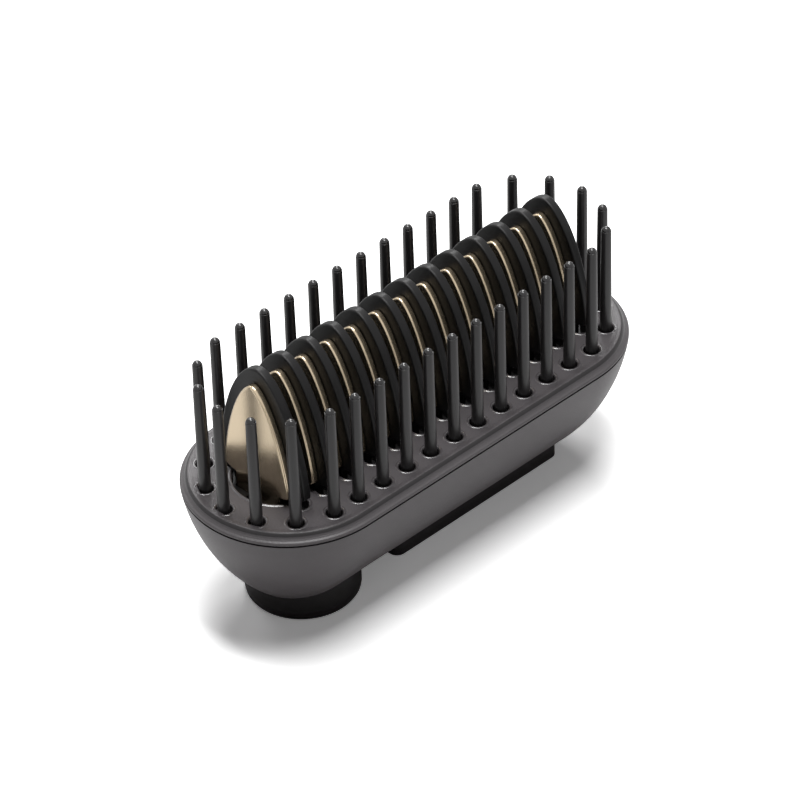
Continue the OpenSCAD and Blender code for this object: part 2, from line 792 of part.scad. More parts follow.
module catch_cover() {
    x0 = -socket_x + catch_body_x + 0.4;
    x1 = -socket_x + stop_x + stop_t;
    half_w = cover_post_y + cover_post_r - 0.3;
    color([0.2, 0.2, 0.205])
    difference() {
        translate([x0, -half_w, cover_z]) cube([x1 - x0, 2 * half_w, cover_t]);
        cover_screw_places()
            translate([0, 0, cover_z - past])
                cylinder(r = small_screw_r + seat_gap, h = cover_t + 2 * past, $fn = small_fn);
    }
}

module cover_screws() {
    color([0.55, 0.55, 0.57])
    cover_screw_places() small_screw(cover_z + cover_t, cover_t + small_grip);
}

module case_screws() {
    color([0.55, 0.55, 0.57])
    for (x = case_xs)
        translate([x, 0, foot_h])
            difference() {
                screw(case_screw_r, shell_wall + case_grip, 2 * case_screw_r, case_head_h);
                translate([0, 0, -case_head_h]) cross_recess(2.2 * case_screw_r, 0.7);
            }
}

module foot_plate() {
    color([0.06, 0.06, 0.065]) {
        translate([foot_x, 0, 0])
            difference() {
                rounded_block(foot_l, foot_w, foot_corner_r, foot_h - seat_gap / 2);
                translate([0, 0, foot_floor])
                    rounded_block(foot_l - 3, foot_w - 3, foot_corner_r - 1.5, foot_h);
            }
        foot_peg_places()
            translate([0, 0, foot_floor - seat_gap])
                cylinder(r = 1.2, h = floor_z - foot_floor, $fn = small_fn);
    }
}

top_plate();
lower_shell();
rim_seal();
fin_comb();
heat_plate(1);  // heat_plate_01
heat_plate(2);  // heat_plate_02
heat_plate(3);  // heat_plate_03
heat_plate(4);  // heat_plate_04
heat_plate(5);  // heat_plate_05
heat_plate(6);  // heat_plate_06
heat_plate(7);  // heat_plate_07
heat_plate(8);  // heat_plate_08
heat_plate(9);  // heat_plate_09
heat_plate(10);  // heat_plate_10
heat_plate(11);  // heat_plate_11
heat_plate(12);  // heat_plate_12
heat_plate(13);  // heat_plate_13
plate_rod(1);  // plate_rod_left
plate_rod(-1);  // plate_rod_right
pin_row(1);  // pin_row_left
pin_row(-1);  // pin_row_right
pin_arc(180);  // pin_arc_near
pin_arc(0);  // pin_arc_far
air_guide();
inlet_screen();
inlet_seal();
coupling_collar();
collar_screws();
catch();
catch_spring();
catch_cover();
cover_screws();
case_screws();
foot_plate();
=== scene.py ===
"""Looks of a brush head for a hot air styler: soft-edged guard fins and heat plates
between two rows of pins, on a racetrack-shaped bed that closes a deep bowl.

Every length is in metres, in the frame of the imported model: X along the head, Y across
it, Z up from the surface that it rests on.
"""

import math

import bpy
import numpy as np
from mathutils import Matrix, Vector


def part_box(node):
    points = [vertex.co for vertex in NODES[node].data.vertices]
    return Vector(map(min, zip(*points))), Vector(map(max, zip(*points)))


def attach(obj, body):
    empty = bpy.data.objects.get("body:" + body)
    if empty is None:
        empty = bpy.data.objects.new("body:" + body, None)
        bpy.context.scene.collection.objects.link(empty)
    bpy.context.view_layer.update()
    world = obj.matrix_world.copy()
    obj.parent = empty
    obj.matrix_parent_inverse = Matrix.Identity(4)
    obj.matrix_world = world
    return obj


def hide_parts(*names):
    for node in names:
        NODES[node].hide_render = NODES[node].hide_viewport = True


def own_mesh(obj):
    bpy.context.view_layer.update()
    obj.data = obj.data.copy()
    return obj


bl_info = {
    "name": "Styler Brush Head",
    "version": (1, 0, 0),
    "blender": (4, 5, 0),
    "location": "3D View > Sidebar > Brush Head",
    "description": "Builds the looks of a hot air styler's brush head on its packed parts",
    "category": "Object",
}

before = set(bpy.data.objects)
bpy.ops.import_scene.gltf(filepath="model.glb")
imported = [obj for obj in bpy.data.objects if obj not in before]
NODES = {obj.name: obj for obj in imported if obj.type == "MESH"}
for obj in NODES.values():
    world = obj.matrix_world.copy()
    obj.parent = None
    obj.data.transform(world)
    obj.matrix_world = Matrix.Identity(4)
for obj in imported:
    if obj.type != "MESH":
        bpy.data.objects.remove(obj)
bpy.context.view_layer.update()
MM = 0.001

# The head and its bed: height of the bed's top and underside, half the distance between the
# centres of the two ends, the radius of an end, and that of the crest inside it
BED_Z = 33.0 * MM
BED_UNDER = 30.5 * MM
HALF_L = 34.7 * MM
HEAD_R = 23.4 * MM
CREST_R = HEAD_R - 2.1 * MM

# Pins: two straight rows, and an arc at each end of the same radius about the arc's centre
PITCH = 7.0 * MM
ROW_PINS = 12
PIN_ROW_Y = 17.3 * MM
ARC_X = 36.3 * MM
ARC_STEP = math.radians(27.3)
ARC_PINS = range(-2, 3)
HOLE_R = 1.8 * MM

# Fins and heat plates, each placed by its number times the pitch
FINS = range(-6, 7)
FIN_LEAD = 0.7 * MM
FIN_FOOT_HALF = 9.0 * MM
PLATE_BACK = 0.75 * MM
PLATE_T = 1.7 * MM
COMB_TOP = 30.4 * MM
TONGUE_Z = 21.0 * MM

# Openings of the bed for the fins: slots with round ends, and a bay at each end of the row
SLOT_X, SLOT_R, SLOT_END = 0.35 * MM, 1.9 * MM, 12.2 * MM
SLOT_LEG_Y = 8.4 * MM
BAY_X, BAY_R = 38.03 * MM, 9.97 * MM
BAY_HALF = math.radians(56)


# Sizes and colours that a user may change


def length_of(name, description, default):
    """A length that a user may change, in metres."""
    return bpy.props.FloatProperty(
        name=name, description=description, default=default, unit="LENGTH", precision=5
    )


def colour_of(name, description, default):
    """A colour that a user may change, as linear red, green and blue."""
    return bpy.props.FloatVectorProperty(
        name=name, description=description, default=default, subtype="COLOR", size=3, min=0, max=1
    )


class BrushHeadSizes(bpy.types.PropertyGroup):
    """Sizes of the pieces that replace plain solids."""

    fin_height: length_of("Fin height", "Height of a guard fin above the bed", 30.0 * MM)
    fin_half_width: length_of("Fin half width", "Half width of a guard fin at the bed", 12.9 * MM)
    fin_thickness: length_of("Fin thickness", "Thickness of a guard fin", 2.1 * MM)
    fin_edge: length_of("Fin edge", "Radius of a guard fin's soft edge", 0.4 * MM)
    plate_height: length_of("Plate height", "Height of a heat plate above the bed", 27.0 * MM)
    plate_half_width: length_of("Plate half width", "Half width of a heat plate at the bed", 9.9 * MM)
    plate_edge: length_of("Plate edge", "Radius of a heat plate's rolled edge", 0.55 * MM)
    pin_height: length_of("Pin height", "Height of a pin above the bed", 26.95 * MM)
    pin_dome: length_of("Pin dome", "Height of the polished dome on a pin", 0.95 * MM)
    pin_foot: length_of("Pin foot", "Radius of a pin at its foot", 1.35 * MM)
    pin_neck: length_of("Pin neck", "Radius of a pin below its tip", 1.125 * MM)


class BrushHeadColours(bpy.types.PropertyGroup):
    """Colours of the finishes."""

    bed: colour_of("Bed", "Dark grey of the bristle bed", (0.073, 0.0665, 0.070))
    shell: colour_of("Bowl", "Dark grey of the bowl", (0.082, 0.074, 0.0777))
    fin: colour_of("Fins", "Black of the guard fins", (0.0065, 0.0062, 0.0065))
    pin: colour_of("Pins", "Black of the pins", (0.018, 0.0168, 0.0174))
    plate: colour_of("Heat plates", "Pale gold of the heat plates", (0.59, 0.485, 0.345))
    collar: colour_of("Collar", "Black of the collar", (0.008, 0.0068, 0.0072))
    foot: colour_of("Foot", "Black of the foot plate", (0.022, 0.0198, 0.0206))
    inner: colour_of("Inner parts", "Dark plastic of the air guide", (0.040, 0.040, 0.042))
    steel: colour_of("Steel", "Bare steel of screws, rods, spring and screen", (0.55, 0.55, 0.57))


def sizes():
    """The sizes as they are set in the scene."""
    return bpy.context.scene.brush_head_sizes


def colours():
    """The colours as they are set in the scene."""
    return bpy.context.scene.brush_head_colours


# Surfaces


def quads(rows, cols, wrap_rows=False, wrap_cols=False):
    """Faces of a grid of rows x cols points: each point makes one four-sided face with its
    neighbours in the next row and column, and a wrapped direction closes on itself."""
    r = np.arange(rows if wrap_rows else rows - 1)
    c = np.arange(cols if wrap_cols else cols - 1)
    r, c = np.meshgrid(r, c, indexing="ij")
    r2, c2 = (r + 1) % rows, (c + 1) % cols
    return np.stack([r * cols + c, r2 * cols + c, r2 * cols + c2, r * cols + c2], -1).reshape(-1, 4)


def tube_faces(rows, cols):
    """Faces of a tube of rows rings with cols points each, closed by a flat face at each end."""
    ring = np.arange(cols)
    return [quads(rows, cols, wrap_cols=True), ring[None, ::-1], (ring + (rows - 1) * cols)[None]]


def volume(points, faces):
    """Six times the volume inside the faces, by summing the tetrahedra from the origin."""
    total = 0.0
    for face in faces:
        f = np.atleast_2d(np.asarray(face))
        for k in range(1, f.shape[1] - 1):
            a, b, c = points[f[:, 0]], points[f[:, k]], points[f[:, k + 1]]
            total += float(np.einsum("ij,ij->i", a, np.cross(b, c)).sum())
    return total


def piece(name, parts, finishes, body, replaces=(), sharp=50):
    """One object from several closed parts, each (points, list of face arrays), or these two
    and the number of its finish. A part whose faces point inwards is turned, so that all of
    them point outwards. An edge sharper than the given degrees isn't shaded smooth."""
    points, faces, finish_of, start = [], [], [], 0
    for part_points, part_faces, *number in parts:
        part_points = np.asarray(part_points, float).reshape(-1, 3)
        inwards = volume(part_points - part_points.mean(0), part_faces) < 0
        for array in part_faces:
            array = np.atleast_2d(np.asarray(array)) + start
            faces += (array[:, ::-1] if inwards else array).tolist()
            finish_of += [number[0] if number else 0] * len(array)
        points.append(part_points)
        start += len(part_points)
    mesh = bpy.data.meshes.new(name)
    mesh.from_pydata(np.concatenate(points).tolist(), [], faces)
    for made in finishes:
        mesh.materials.append(made)
    mesh.polygons.foreach_set("material_index", finish_of)
    mesh.validate()
    mesh.shade_smooth()
    mesh.set_sharp_from_angle(angle=math.radians(sharp))
    made = bpy.data.objects.new(name, mesh)
    bpy.context.scene.collection.objects.link(made)
    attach(made, body)
    if replaces:
        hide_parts(*replaces)
    return made


def node_points(name):
    """The points of a CAD node's mesh, one row each."""
    mesh = NODES[name].data
    points = np.empty(len(mesh.vertices) * 3)
    mesh.vertices.foreach_get("co", points)
    return points.reshape(-1, 3)


def lathe(profile, centre, sides=32):
    """Solid of revolution: the profile's (radius, height) points turn about an upright axis at
    centre, x = radius cos a, y = radius sin a. Both ends are closed by a flat face."""
    profile = np.asarray(profile)
    a = np.arange(sides) / sides * 2 * np.pi
    ring = np.stack([np.cos(a), np.sin(a)], -1)
    points = np.empty((len(profile), sides, 3))
    points[..., :2] = profile[:, None, :1] * ring[None] + np.asarray(centre)[:2]
    points[..., 2] = profile[:, None, 1]
    return points, tube_faces(len(profile), sides)


def sweep(section, path, outward, closed=True):
    """Ring or bar with a closed section: a point of the section, (distance out, height), is
    carried along the path, at path + distance x outward, with its height above the bed."""
    section, path, outward = map(np.asarray, (section, path, outward))
    points = np.empty((len(path), len(section), 3))
    points[..., :2] = path[:, None] + outward[:, None] * section[None, :, :1]
    points[..., 2] = BED_Z + section[None, :, 1]
    if closed:
        return points, [quads(len(path), len(section), wrap_rows=True, wrap_cols=True)]
    return points, tube_faces(len(path), len(section))


def turn(centre, radius, a0, a1, steps, closed=False):
    """Path and outward directions round a centre, from the angle a0 to a1."""
    a = np.linspace(a0, a1, steps, endpoint=not closed)
    out = np.stack([np.cos(a), np.sin(a)], -1)
    return np.asarray(centre) + radius * out, out


def racetrack(radius, arc_steps=64, line_steps=24):
    """Closed path round the two centres of the head: the point runs along the line between
    them while its outward direction turns half a circle at each end."""
    a = np.linspace(-np.pi / 2, np.pi / 2, arc_steps + 1)
    along = np.linspace(HALF_L, -HALF_L, line_steps + 1)[1:-1]
    end, side = np.full(arc_steps + 1, HALF_L), np.full(len(along), np.pi / 2)
    x = np.concatenate([end, along, -end, -along])
    a = np.concatenate([a, side, a + np.pi, -side])
    out = np.stack([np.cos(a), np.sin(a)], -1)
    return np.stack([x, 0 * x], -1) + radius * out, out


def arch_outline(half_w, height, power, waist, foot, bottom, crown, inset=0.0):
    """Closed outline (y, z) of an upright arch, moved inwards by the inset. Above the waist it is
    the superellipse (u / half width)^power + (z / height)^power = 1, where u is the distance
    from the middle, kept from falling below the crown's size so that the top is round. Below
    the waist a superellipse of exponent 2.2 rounds each corner in to a foot."""
    corner = 2.2 / 2
    above_foot = 0.6 * MM
    half_w, height, foot = half_w - inset, height - inset, foot - inset
    u = half_w * (1 - (waist / height) ** power) ** (1 / power)
    wide = math.sqrt((u**2 - crown**2) / (1 - (crown / half_w) ** 2))
    start = math.acos((wide / half_w) ** (power / 2))
    c = np.cos(np.linspace(start, math.pi - start, 97))
    y = half_w * np.sign(c) * np.abs(c) ** (2 / power)
    u = np.sqrt(y**2 + crown**2 * (1 - (y / half_w) ** 2))
    top = np.stack([y, BED_Z + height * (1 - (u / half_w) ** power) ** (1 / power)], -1)
    drop = waist - above_foot - inset
    q = np.linspace(0, math.acos((foot / wide) ** corner), 14)[1:]
    side_y, side_z = wide * np.cos(q) ** (1 / corner), BED_Z + waist - drop * np.sin(q) ** (1 / corner)
    side = np.stack([side_y, side_z], -1)
    down = np.linspace(side[-1, 1], bottom, 6)[1:]
    right = np.concatenate([side, np.stack([np.full(len(down), foot), down], -1)])
    return np.concatenate([top, right * [-1, 1], right[::-1]])


def soft_plate(outline, x0, x1, front, back, steps=8):
    """Upright plate from x0 to x1, whose rim is rounded by the front and back radii: across the
    rim x moves in by r (1 - cos q) while the outline moves in by r (1 - sin q). A ring of flat
    face lies inside each rounding, so that the faces are shaded flat."""
    flat = 0.35 * MM
    q = np.linspace(0, np.pi / 2, steps)
    c, s = np.cos(q), np.sin(q)
    rows = [(x0, front + flat)]
    rows += list(zip(x0 + front * (1 - c), front * (1 - s)))
    rows += list(zip(x1 - back * (1 - c[::-1]), back * (1 - s[::-1])))
    rows += [(x1, back + flat)]
    n = len(outline(0.0))
    points = np.empty((len(rows), n, 3))
    for k, (x, inset) in enumerate(rows):
        points[k, :, 0] = x
        points[k, :, 1:] = outline(inset)
    return points, tube_faces(len(rows), n)


def cut_section(a0, a1, z0, z1, edge=0.2 * MM):
    """Section of a bar from a0 to a1 across and from z0 to z1 up, with its corners cut off."""
    return np.array(
        [
            (a0 + edge, z0), (a1 - edge, z0), (a1, z0 + edge), (a1, z1 - edge),
            (a1 - edge, z1), (a0 + edge, z1), (a0, z1 - edge), (a0, z0 + edge),
        ]
    )


def straight_bar(x0, x1, section):
    """Bar along x: its section, (y, z), is carried from x0 to x1."""
    xs = np.linspace(x0, x1, 13)
    points = np.empty((len(xs), len(section), 3))
    points[..., 0] = xs[:, None]
    points[..., 1:] = section[None]
    return points, tube_faces(len(xs), len(section))


def curved_bar(cx, a0, a1, section):
    """Bar bent round an upright axis at cx: its section, (distance from the axis, z), turns
    from the angle a0 to a1."""
    a = np.linspace(a0, a1, 49)
    points = np.empty((len(a), len(section), 3))
    points[..., 0] = cx + section[None, :, 0] * np.cos(a)[:, None]
    points[..., 1] = section[None, :, 0] * np.sin(a)[:, None]
    points[..., 2] = section[None, :, 1]
    return points, tube_faces(len(a), len(section))


def row_places(side):
    """Centres of the pins of a straight row, which lies on the side of +y or -y."""
    middle = (ROW_PINS - 1) / 2
    return [((k - middle) * PITCH, side * PIN_ROW_Y) for k in range(ROW_PINS)]


def arc_places(sign):
    """Centres of the pins of an arc, which lies at the far end (+1) or the near end (-1)."""
    angles = [k * ARC_STEP for k in ARC_PINS]
    return [(sign * (ARC_X + PIN_ROW_Y * math.cos(a)), PIN_ROW_Y * math.sin(a)) for a in angles]


# Finishes


def group(name, inputs, outputs):
    """A new shader node group with named inputs and outputs, or the one that exists."""
    tree = bpy.data.node_groups.get(name)
    if tree:
        return tree, None, None
    tree = bpy.data.node_groups.new(name, "ShaderNodeTree")
    for label, kind, value in inputs:
        socket = tree.interface.new_socket(name=label, in_out="INPUT", socket_type=kind)
        if value is not None:
            socket.default_value = value
    for label, kind in outputs:
        tree.interface.new_socket(name=label, in_out="OUTPUT", socket_type=kind)
    return tree, tree.nodes.new("NodeGroupInput"), tree.nodes.new("NodeGroupOutput")


def node(tree, kind, values=(), **settings):
    """A new shader node with its settings, and with values for some of its inputs."""
    made = tree.nodes.new(kind)
    for key, value in settings.items():
        setattr(made, key, value)
    for key, value in values:
        made.inputs[key].default_value = value
    return made


def grain_group():
    """Spark-eroded grain of a mould: fine noise as a height, and a slight mottle of the shade
    from the fine and a wide noise together."""
    tree, ins, outs = group(
        "moulded_grain",
        [
            ("Place", "NodeSocketVector", None),
            ("Cells per metre", "NodeSocketFloat", 2200.0),
            ("Mottle", "NodeSocketFloat", 0.1),
        ],
        [("Height", "NodeSocketFloat"), ("Shade", "NodeSocketFloat")],
    )
    if ins is None:
        return tree
    link = tree.links.new
    fine = node(tree, "ShaderNodeTexNoise", [("Detail", 3.0), ("Roughness", 0.6)])
    wide = node(tree, "ShaderNodeTexNoise", [("Scale", 60.0), ("Detail", 2.0)])
    link(ins.outputs["Place"], fine.inputs["Vector"])
    link(ins.outputs["Place"], wide.inputs["Vector"])
    link(ins.outputs["Cells per metre"], fine.inputs["Scale"])
    link(fine.outputs["Fac"], outs.inputs["Height"])
    both = node(tree, "ShaderNodeMath", operation="ADD")
    link(fine.outputs["Fac"], both.inputs[0])
    link(wide.outputs["Fac"], both.inputs[1])
    centred = node(tree, "ShaderNodeMath", [(1, 1.0)], operation="SUBTRACT")
    link(both.outputs[0], centred.inputs[0])
    scaled = node(tree, "ShaderNodeMath", operation="MULTIPLY")
    link(centred.outputs[0], scaled.inputs[0])
    link(ins.outputs["Mottle"], scaled.inputs[1])
    shade = node(tree, "ShaderNodeMath", [(1, 1.0)], operation="ADD")
    link(scaled.outputs[0], shade.inputs[0])
    link(shade.outputs[0], outs.inputs["Shade"])
    return tree


def shaded_group():
    """A colour times a shade."""
    tree, ins, outs = group(
        "shaded_colour",
        [("Colour", "NodeSocketColor", (0.5, 0.5, 0.5, 1)), ("Shade", "NodeSocketFloat", 1.0)],
        [("Colour", "NodeSocketColor")],
    )
    if ins is None:
        return tree
    scale = node(tree, "ShaderNodeVectorMath", operation="SCALE")
    tree.links.new(ins.outputs["Colour"], scale.inputs[0])
    tree.links.new(ins.outputs["Shade"], scale.inputs["Scale"])
    tree.links.new(scale.outputs[0], outs.inputs["Colour"])
    return tree


def finish(name, colour, roughness, cells, depth, mottle, metallic=0.0, specular=0.5, swing=0.04):
    """Moulded or blasted surface, made once: its grain, of so many cells per metre and so deep,
    bumps the normal, mottles the shade, and swings the roughness a little up and down."""
    made = bpy.data.materials.get(name)
    if made:
        return made
    made = bpy.data.materials.new(name)
    made.use_nodes = True
    made.diffuse_color = (*colour, 1)
    tree = made.node_tree
    shader = tree.nodes["Principled BSDF"]
    shader.inputs["Metallic"].default_value = metallic
    shader.inputs["Specular IOR Level"].default_value = specular
    place = node(tree, "ShaderNodeTexCoord")
    grain = node(tree, "ShaderNodeGroup", node_tree=grain_group())
    grain.inputs["Cells per metre"].default_value = cells
    grain.inputs["Mottle"].default_value = mottle
    tint = node(tree, "ShaderNodeGroup", node_tree=shaded_group())
    tint.inputs["Colour"].default_value = (*colour, 1)
    bump = node(tree, "ShaderNodeBump", [("Strength", 1.0), ("Distance", depth)])
    rough = node(
        tree,
        "ShaderNodeMapRange",
        [
            ("From Min", 0.3),
            ("From Max", 0.7),
            ("To Min", roughness - swing),
            ("To Max", roughness + swing),
        ],
    )
    link = tree.links.new
    link(place.outputs["Object"], grain.inputs["Place"])
    link(grain.outputs["Shade"], tint.inputs["Shade"])
    link(tint.outputs["Colour"], shader.inputs["Base Color"])
    link(grain.outputs["Height"], bump.inputs["Height"])
    link(grain.outputs["Height"], rough.inputs["Value"])
    link(rough.outputs["Result"], shader.inputs["Roughness"])
    link(bump.outputs["Normal"], shader.inputs["Normal"])
    return made


def dress(finish_made, *names):
    """Gives CAD nodes a finish, by their own material slots."""
    for name in names:
        mesh = NODES[name].data
        if not mesh.materials:
            mesh.materials.append(finish_made)
        for k in range(len(mesh.materials)):
            mesh.materials[k] = finish_made


def bed_finish():
    """Grained dark grey plastic of the bed."""
    return finish(
        "bed_grey_grained", colours().bed,
        roughness=0.40, cells=2400.0, depth=0.06 * MM, mottle=0.18, specular=0.42,
    )


def lip_finish():
    """The bed's plastic on its lips, smoother and shinier than the grain."""
    return finish(
        "lip_grey_worn", colours().bed,
        roughness=0.20, cells=2400.0, depth=0.02 * MM, mottle=0.12, specular=0.75,
    )


def cove_painted_shade_finish():
    """The bed's plastic on the slope outside the crest, with painted shade: its colour is cut to a share
    of the bed's to stand in for the shade in the recessed groove.
    """
    # Painted shade: the share of the bed's colour that the slope keeps, standing in for the shade in the
    # groove
    painted_shade_share = 0.4
    return finish(
        "cove_grey_painted_shade", tuple(painted_shade_share * c for c in colours().bed),
        roughness=0.36, cells=2400.0, depth=0.03 * MM, mottle=0.14, specular=0.25,
    )


def shell_finish():
    """Satin dark grey plastic of the bowl."""
    return finish(
        "bowl_grey_grained", colours().shell,
        roughness=0.44, cells=3200.0, depth=0.02 * MM, mottle=0.08, specular=0.42,
    )


def fin_finish():
    """Soft matt black of the guard fins."""
    return finish(
        "fin_black_matt", colours().fin,
        roughness=0.40, cells=3000.0, depth=0.012 * MM, mottle=0.12, specular=0.24,
    )


def pin_finish():
    """Satin black of a pin's shank."""
    return finish(
        "pin_black_satin", colours().pin,
        roughness=0.32, cells=2600.0, depth=0.01 * MM, mottle=0.10,
    )


def tip_finish():
    """Polished black of a pin's dome."""
    return finish(
        "pin_tip_polished", colours().pin,
        roughness=0.16, cells=2600.0, depth=0.002 * MM, mottle=0.05, swing=0.02,
    )


def plate_finish():
    """Fine blasted and anodised metal of the heat plates."""
    return finish(
        "plate_gold_blasted", colours().plate,
        roughness=0.23, cells=5200.0, depth=0.004 * MM, mottle=0.05, metallic=0.95, swing=0.03,
    )


def collar_finish():
    """Matt black of the collar and the seals."""
    return finish(
        "collar_black_matt", colours().collar,
        roughness=0.50, cells=2600.0, depth=0.01 * MM, mottle=0.12, specular=0.2,
    )


def foot_finish():
    """Matt black of the foot plate."""
    return finish(
        "foot_black_matt", colours().foot,
        roughness=0.50, cells=2600.0, depth=0.01 * MM, mottle=0.12, specular=0.3,
    )


def inner_finish():
    """Dark plastic inside the head."""
    return finish(
        "inner_dark_plastic", colours().inner,
        roughness=0.55, cells=2600.0, depth=0.02 * MM, mottle=0.12,
    )


def steel_finish():
    """Bare steel."""
    return finish(
        "bare_steel", colours().steel,
        roughness=0.32, cells=3500.0, depth=0.004 * MM, mottle=0.06, metallic=1.0,
    )


# Operators


class MakeBed(bpy.types.Operator):
    """Gives the bristle bed and the bowl below it their grained dark grey, and rounds the lips"""

    bl_idname = "brush_head.make_bed"
    bl_label = "Bed and bowl"

    def execute(self, context):
        dress(bed_finish(), "top_plate")
        dress(shell_finish(), "lower_shell")
        dress(collar_finish(), "rim_seal")
        lip_number, cove_painted_shade_number, bed_number = range(3)
        crest, cove = self.crest()
        rim = racetrack(CREST_R)
        # The slope outside the crest gets the finish with painted shade
        parts = [(*sweep(crest, *rim), bed_number), (*sweep(cove, *rim), cove_painted_shade_number)]
        lip = self.lip()
        for centre in row_places(-1) + row_places(1) + arc_places(-1) + arc_places(1):
            parts.append((*sweep(lip, *turn(centre, HOLE_R, 0, 2 * np.pi, 48, True)), lip_number))
        bead = self.bead()
        for k in FINS:
            for side in (-1, 1):
                path = self.slot_end(k * PITCH + SLOT_X, side)
                parts.append((*sweep(bead, *path, closed=False), lip_number))
        for centre_x, facing in ((-BAY_X, math.pi), (BAY_X + 2 * SLOT_X, 0.0)):
            path = turn((centre_x, 0), BAY_R, facing - BAY_HALF, facing + BAY_HALF, 65)
            parts.append((*sweep(bead, *path, closed=False), lip_number))
        piece("bed_lips", parts, [lip_finish(), cove_painted_shade_finish(), bed_finish()], "head")
        return {"FINISHED"}

    def slope(self, start, top, reach):
        """Cosine slope from the top of a lip down to just below the bed."""
        t = np.linspace(0, 1, 7)[1:]
        sunk = 0.03 * MM
        height = top - (top + sunk) * (1 - np.cos(np.pi * t)) / 2
        return np.stack([start + (reach - start) * t, height], -1)

    def lip(self):
        """Section of a rounded lip, as (distance into the bed, height): up the wall, round a
        quarter circle, and down a slope into the bed."""
        r, rise, reach = 0.45 * MM, 0.07 * MM, 0.8 * MM
        under, low = -0.15 * MM, -0.7 * MM
        q = np.linspace(0, np.pi / 2, 7)
        round_edge = np.stack([r - r * np.cos(q), rise - r + r * np.sin(q)], -1)
        slope = self.slope(r, rise, reach)
        return np.concatenate([[(0, low)], round_edge, slope, [(reach, under), (r, low)]])

    def bead(self):
        """Section of a low bead over a sharp edge, as (distance into the bed, height): up the
        wall, round a quarter circle whose centre lies inside the edge, and down a slope."""
        r, out, down, reach = 0.28 * MM, 0.25 * MM, 0.12 * MM, 0.9 * MM
        under, low = -0.15 * MM, -0.6 * MM
        q = np.linspace(0, np.pi / 2, 9)
        round_edge = np.stack([out - r * np.cos(q), -down + r * np.sin(q)], -1)
        slope = self.slope(out, r - down, reach)
        return np.concatenate([[(out - r, low)], round_edge, slope, [(reach, under), (out, low)]])

    def crest(self):
        """Sections of the raised crest round the bed and of the slope outside it, in mm, as
        (distance outwards from the crest, height)."""
        crest = [
            (-1.1, -0.02), (-0.85, 0.01), (-0.55, 0.05), (-0.25, 0.10), (0.0, 0.13),
            (0.2, 0.125), (0.36, 0.09), (0.3, -0.4), (-1.1, -0.3),
        ]
        cove = [
            (0.35, 0.092), (0.45, 0.06), (0.58, -0.02), (0.74, -0.18), (0.87, -0.38),
            (0.95, -0.56), (0.75, -0.7), (0.29, -0.4),
        ]
        return np.array(crest) * MM, np.array(cove) * MM

    def slot_end(self, x, side):
        """Path round one end of a fin's slot, with short straight legs towards the middle."""
        y = SLOT_END - SLOT_R
        a = np.linspace(0, np.pi, 25)
        path = np.stack([x + SLOT_R * np.cos(a), side * (y + SLOT_R * np.sin(a))], -1)
        out = np.stack([np.cos(a), side * np.sin(a)], -1)
        legs = np.array([[x + SLOT_R, side * SLOT_LEG_Y], [x - SLOT_R, side * SLOT_LEG_Y]])
        path = np.concatenate([legs[:1], path, legs[1:]])
        return path, np.concatenate([out[:1], out, out[-1:]])


class MakeFins(bpy.types.Operator):
    """Builds the thirteen soft-edged guard fins on their comb"""

    bl_idname = "brush_head.make_fins"
    bl_label = "Guard fins"

    def execute(self, context):
        s = sizes()
        bottom = COMB_TOP - 0.1 * MM
        arch = dict(power=1.78, waist=2.9 * MM, foot=FIN_FOOT_HALF, bottom=bottom, crown=0.8 * MM)

        def outline(inset):
            return arch_outline(s.fin_half_width, s.fin_height, inset=inset, **arch)

        parts = []
        for k in FINS:
            x = k * PITCH - FIN_LEAD
            parts.append(soft_plate(outline, x, x + s.fin_thickness, s.fin_edge, s.fin_edge))
        parts.append(self.comb_base(s.fin_thickness))
        piece("guard_fins", parts, [fin_finish()], "head", ["fin_comb"])
        return {"FINISHED"}

    def comb_base(self, fin_thickness):
        """The comb's base: the CAD comb's triangles below the fins, merged, with the fins' feet
        closed by flat faces."""
        above, same = 0.005 * MM, 0.002 * MM
        points = node_points("fin_comb")
        mesh = NODES["fin_comb"].data
        mesh.calc_loop_triangles()
        tris = np.empty(len(mesh.loop_triangles) * 3, int)
        mesh.loop_triangles.foreach_get("vertices", tris)
        tris = tris.reshape(-1, 3)
        low = (points[tris][..., 2] < COMB_TOP + above).all(1)
        feet = []
        for k in FINS:
            x0 = k * PITCH - FIN_LEAD
            x1, y = x0 + fin_thickness, FIN_FOOT_HALF
            feet.append([[x0, -y, COMB_TOP], [x1, -y, COMB_TOP], [x1, y, COMB_TOP], [x0, y, COMB_TOP]])
        used = points[tris[low]].reshape(-1, 3)
        loose = np.concatenate([used, np.array(feet).reshape(-1, 3)])
        keys, index = np.unique(np.round(loose / same).astype(int), axis=0, return_inverse=True)
        index = index.reshape(-1)
        merged = np.zeros((len(keys), 3))
        merged[index] = loose
        n = len(used)
        return merged, [index[:n].reshape(-1, 3), index[n:].reshape(-1, 4)]


class MakePlates(bpy.types.Operator):
    """Builds the thirteen heat plates with rolled edges, and dresses the rods that string them"""

    bl_idname = "brush_head.make_plates"
    bl_label = "Heat plates"
    back_edge = 0.3 * MM

    def execute(self, context):
        s = sizes()
        arch = dict(power=1.58, waist=2.7 * MM, foot=6.5 * MM, bottom=TONGUE_Z, crown=1.0 * MM)

        def outline(inset):
            return arch_outline(s.plate_half_width, s.plate_height, inset=inset, **arch)

        for number, k in enumerate(FINS, 1):
            x1 = k * PITCH - PLATE_BACK
            part = soft_plate(outline, x1 - PLATE_T, x1, s.plate_edge, self.back_edge)
            replaced = [f"heat_plate_{number:02d}"]
            piece(f"gold_plate_{number:02d}", [part], [plate_finish()], "head", replaced)
        dress(steel_finish(), "plate_rod_left", "plate_rod_right")
        return {"FINISHED"}


